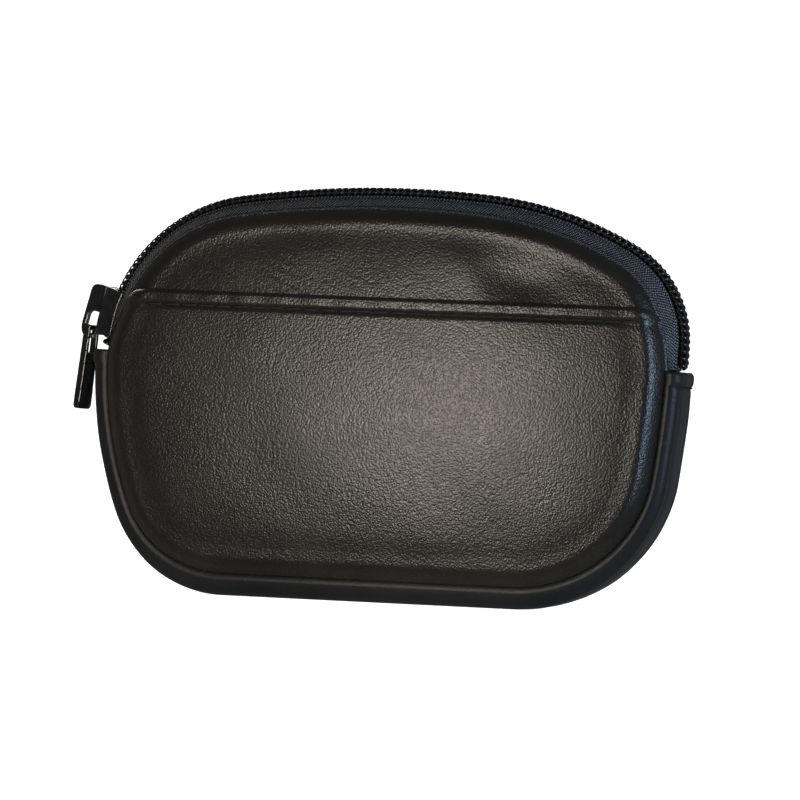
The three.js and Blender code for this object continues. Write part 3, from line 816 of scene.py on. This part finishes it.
def zip_coil(name, side, phase):
    """One nylon filament wound into a flattened helix along the tape's edge. The two
    coils are half a pitch apart, so each one's turns stand between the other's."""
    turns = int((LEFT_END - RIGHT_END - 0.9) / PITCH)
    steps = 16
    k = np.arange(turns * steps + 1)
    angle = k / steps * 2 * np.pi
    s = RIGHT_END + 0.6 + (k / steps + phase) * PITCH
    station = outline.at(s)
    across = np.sign(np.cos(angle)) * np.abs(np.cos(angle)) ** 0.8
    y = side * (1.02 - 1.12 * across + parted(s) - 0.3)
    depth = 0.98 - 0.62 * np.sin(angle)
    path = inset_points(station, y, depth)
    return tube(name, path, FILAMENT, 8, nylon)


def coil_thread(name, side):
    """The chain of sewing that holds the coil down on its tape."""
    s = np.arange(RIGHT_END + 0.6, COIL_END - 0.3, PITCH / 6)
    station = outline.at(s)
    sway = np.sin(s / PITCH * 2 * np.pi)
    paths = []
    weave = 0.1 * np.cos(s / PITCH * 2 * np.pi)
    for v, drop in ((1.55, 0.30), (2.42, 1.03)):
        paths.append(inset_points(station, side * (v + weave), drop + 0.12 * sway))
    inner, outer = paths
    return join_tubes(name, [inner[:0:-1], outer], COIL_THREAD, 6, thread)


mouth = []
for word, side in (("front", -1), ("back", 1)):
    tape = zip_tape(f"{word}_woven_tape", side)
    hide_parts(f"{word}_zip_tape")
    coil = zip_coil(f"{word}_coil_teeth", side, 0.0 if side < 0 else 0.5)
    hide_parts(f"{word}_zip_coil")
    sewing = coil_thread(f"{word}_coil_sewing", side)
    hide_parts(f"{word}_coil_thread")
    if side < 0:
        mouth += [tape, coil, sewing]
    else:
        for piece in (tape, coil, sewing):
            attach(piece, "root")

# ------------------------------------------------------------------ slider and pull


def cast_copy(name, source, voxel, smoothing, shape=None):
    """A rounded casting from a CAD piece: remeshed finely, then relaxed."""
    original = frame["nodes"][source]
    mesh = original.data.copy()
    mesh.materials.clear()
    mesh.materials.append(enamel)
    obj = bpy.data.objects.new(name, mesh)
    bpy.context.scene.collection.objects.link(obj)
    remesh = obj.modifiers.new("remesh", "REMESH")
    remesh.mode = "VOXEL"
    remesh.voxel_size = voxel * MM
    relax = obj.modifiers.new("relax", "SMOOTH")
    relax.factor = 0.5
    relax.iterations = smoothing
    deps = bpy.context.evaluated_depsgraph_get()
    done = bpy.data.meshes.new_from_object(obj.evaluated_get(deps))
    obj.modifiers.clear()
    obj.data = done
    done.name = name
    if not done.materials:
        done.materials.append(enamel)
    if shape is not None:
        done.transform(shape)
    done.polygons.foreach_set("use_smooth", [True] * len(done.polygons))
    return obj


pull_joint = next(joint for joint in frame["joints"] if joint["name"] == "pull_tab_swing")
pivot = Vector(pull_joint["pos_m"])
lean = (
    Matrix.Translation(pivot)
    @ Matrix.Rotation(math.radians(5.0), 4, "Y")
    @ Matrix.Rotation(math.radians(-9.0), 4, "Z")
    @ Matrix.Translation(-pivot)
)

for name, source, body, voxel, smoothing, shape in (
    ("slider_casting", "slider_body", "slider", 0.13, 4, None),
    ("slider_arch", "slider_crown", "slider", 0.09, 5, None),
    ("pull_casting", "pull_tab", "pull", 0.1, 4, lean),
):
    casting = cast_copy(name, source, voxel, smoothing, shape)
    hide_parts(source)
    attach(casting, body)

# ------------------------------------------------------------------ linings and seams

LINING = 0.5
LINING_INSET = 2.95  # from the face seam in to the edge of a face's lining
LINING_EDGE_Y = 8.7  # middle of the lining's thickness at that edge
LINING_CROWN = 0.35
GUSSET_LINING_DEPTH = 1.5
GUSSET_LINING_HALF = 6.9  # half of the gusset lining's width
SEAM_THREAD_Y = 7.0
SEAM_THREAD_INSET = 2.6
SEAM_STITCH = 2.8


def flat_uv(rings):
    """UVs in mm for rings of points: x and z where the cloth lies flat."""
    return np.asarray(rings)[..., [0, 2]].reshape(-1, 2)


def lining_face(name, side, seed):
    """A face's lining: thin cloth with a few soft folds, sewn flat round its edge."""
    edge = face_edge(240, LINING_INSET)
    share = np.linspace(0.04, 1.0, 40)
    flat = FACE_CENTRE + (edge - FACE_CENTRE)[None] * share[:, None, None]
    x, z = flat[..., 0], flat[..., 1]
    free = 1 - share[:, None] ** 2
    folds = 0.1 * noise(np.stack([x, np.zeros_like(x), z], -1), 16.0, seed) * free
    middle = LINING_EDGE_Y + LINING_CROWN * free + folds
    outer = np.stack([x, side * (middle + LINING / 2), z], -1)
    inner = np.stack([x, side * (middle - LINING / 2), z], -1)[::-1]
    rings = np.concatenate([outer, inner])
    return loft(name, rings, lining_cloth, ends="point", uv=flat_uv(rings))


def gusset_lining():
    """The gusset's lining, a thin strip with a shallow sag between its sewn edges."""
    rows, columns = 220, 20
    margin = 1.2
    s = np.linspace(LEFT_END - outline.perimeter + margin, RIGHT_END - margin, rows)
    station = outline.at(s)
    y = np.linspace(-GUSSET_LINING_HALF, GUSSET_LINING_HALF, columns)
    rings, uv = [], []
    for row in range(rows):
        one = {key: np.full(columns, value[row]) for key, value in station.items()}
        rise = station["inset"][row] + 0.75 - GUSSET_LINING_DEPTH
        depth = GUSSET_LINING_DEPTH + rise * (np.abs(y) / GUSSET_LINING_HALF) ** 4
        at = inset_points(one, y, depth)
        depth = depth + 0.12 * (1 + noise(at, 9.0, 31))
        outer = inset_points(one, y, depth)
        inner = inset_points(one, y, depth + LINING)[::-1]
        rings.append(np.vstack([outer, inner]))
        line = np.stack([np.full(columns, s[row]), y], -1)
        uv.append(np.vstack([line, line[::-1]]))
    return loft("gusset_lining_cloth", rings, lining_cloth, uv=np.array(uv).reshape(-1, 2))


def seam_sewing(name, side):
    """The lockstitches that close a face seam, one thread dipping at every stitch."""
    count = 900
    s = np.arange(count) * outline.perimeter / count
    station = outline.at(s)
    stitches = round(outline.perimeter / SEAM_STITCH)
    dip = 0.07 * np.cos(2 * np.pi * s / outline.perimeter * stitches)
    depth = station["inset"] + SEAM_THREAD_INSET + dip
    path = inset_points(station, side * SEAM_THREAD_Y, depth)
    return tube(name, path, 0.2, 8, thread, closed=True)


for word, side, seed in (("front", -1, 41), ("back", 1, 43)):
    cloth = lining_face(f"{word}_lining_cloth", side, seed)
    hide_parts(f"{word}_lining")
    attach(cloth, "root")
    sewing = seam_sewing(f"{word}_seam_sewing", side)
    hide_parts(f"{word}_seam_thread")
    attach(sewing, "root")
strip_lining = gusset_lining()
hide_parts("gusset_lining")
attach(strip_lining, "root")

# ------------------------------------------------------------------ bodies

for piece in mouth + [front_face, pocket, pocket_thread]:
    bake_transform(piece)
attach(back_face, "root")
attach(gusset_piece, "root")

# ------------------------------------------------------------------ studio

CAMERA_AZIMUTH = 11.2
CAMERA_ELEVATION = 0.0
CAMERA_ROLL = 2.4
LENS = 250.0
VIEW_WIDTH = 145.0  # mm across the picture at the purse
AIM = Vector((2.4, -6.0, 36.9)) * MM
BACKDROP_HALF = 3000.0
FLOOR_REACH = 2500.0  # towards the camera
WALL_Y = 1500.0  # where the floor starts to curve up
SWEEP = 400.0
WALL_HEIGHT = 2500.0


def aim(obj, target):
    obj.rotation_euler = (target - obj.location).to_track_quat("-Z", "Y").to_euler()


def make_camera():
    """A long lens, a little to the right of the purse's front, at the height of its middle."""
    data = bpy.data.cameras.new("camera")
    data.lens = LENS
    data.sensor_width = 36.0
    data.clip_start = 0.01
    camera = bpy.data.objects.new("camera", data)
    azimuth, elevation = math.radians(CAMERA_AZIMUTH), math.radians(CAMERA_ELEVATION)
    distance = VIEW_WIDTH / data.sensor_width * LENS * MM
    way = Vector(
        (
            math.sin(azimuth) * math.cos(elevation),
            -math.cos(azimuth) * math.cos(elevation),
            math.sin(elevation),
        )
    )
    camera.location = AIM + way * distance
    look = (-way).to_track_quat("-Z", "Y")
    roll = Matrix.Rotation(math.radians(CAMERA_ROLL), 4, "Z")
    camera.matrix_world = Matrix.LocRotScale(camera.location, look, None) @ roll
    bpy.context.scene.collection.objects.link(camera)
    bpy.context.scene.camera = camera


def area_light(name, place, size, power, colour, target=(0, 0, 38)):
    data = bpy.data.lights.new(name, "AREA")
    data.shape = "RECTANGLE"
    data.size, data.size_y = size[0] * MM, size[1] * MM
    data.energy = power
    data.color = colour
    light = bpy.data.objects.new(name, data)
    light.location = Vector(place) * MM
    light.visible_camera = False
    aim(light, Vector(target) * MM)
    bpy.context.scene.collection.objects.link(light)


def backdrop():
    """A pale floor that sweeps up behind the object."""
    material, tree, shader = new_material("backdrop_paper", (0.8, 0.8, 0.8), 1.0)
    place = tree.nodes.new("ShaderNodeTexCoord").outputs["Object"]
    grain = noise_node(tree, place, 400.0, 2.0)
    shader.inputs["Specular IOR Level"].default_value = 0.0
    shader.inputs["Emission Color"].default_value = (1.0, 1.0, 1.0, 1)
    shader.inputs["Emission Strength"].default_value = 0.97
    tree.links.new(bump_node(tree, grain, 0.05, 0.0002), shader.inputs["Normal"])
    base = cad_box[0][2] / MM
    profile = [(-FLOOR_REACH, base)]
    for a in np.linspace(0, math.pi / 2, 24):
        profile.append((WALL_Y + SWEEP * math.sin(a), base + SWEEP * (1 - math.cos(a))))
    profile.append((WALL_Y + SWEEP, base + WALL_HEIGHT))
    verts, faces = [], []
    for y, z in profile:
        verts += [(-BACKDROP_HALF, y, z), (BACKDROP_HALF, y, z)]
    for k in range(len(profile) - 1):
        faces.append([2 * k, 2 * k + 1, 2 * k + 3, 2 * k + 2])
    sweep = mesh_object("backdrop", verts, faces, material)
    sweep.visible_glossy = False


def studio():
    bpy.context.scene.view_settings.view_transform = "Standard"
    world = bpy.data.worlds.new("studio")
    world.use_nodes = True
    world.node_tree.nodes["Background"].inputs["Color"].default_value = (1.0, 1.0, 1.0, 1)
    world.node_tree.nodes["Background"].inputs["Strength"].default_value = 0.09
    bpy.context.scene.world = world
    area_light("key", (-6, -128, 38), (40, 35), 0.142, (1.0, 0.91, 0.79), (-5, 0, 36))
    area_light("back", (-180, 420, 260), (300, 220), 1.2, (1.0, 0.96, 0.9))
    area_light("rim", (420, -130, 60), (70, 200), 1.5, (0.5, 0.71, 1.0))


make_camera()
backdrop()
studio()
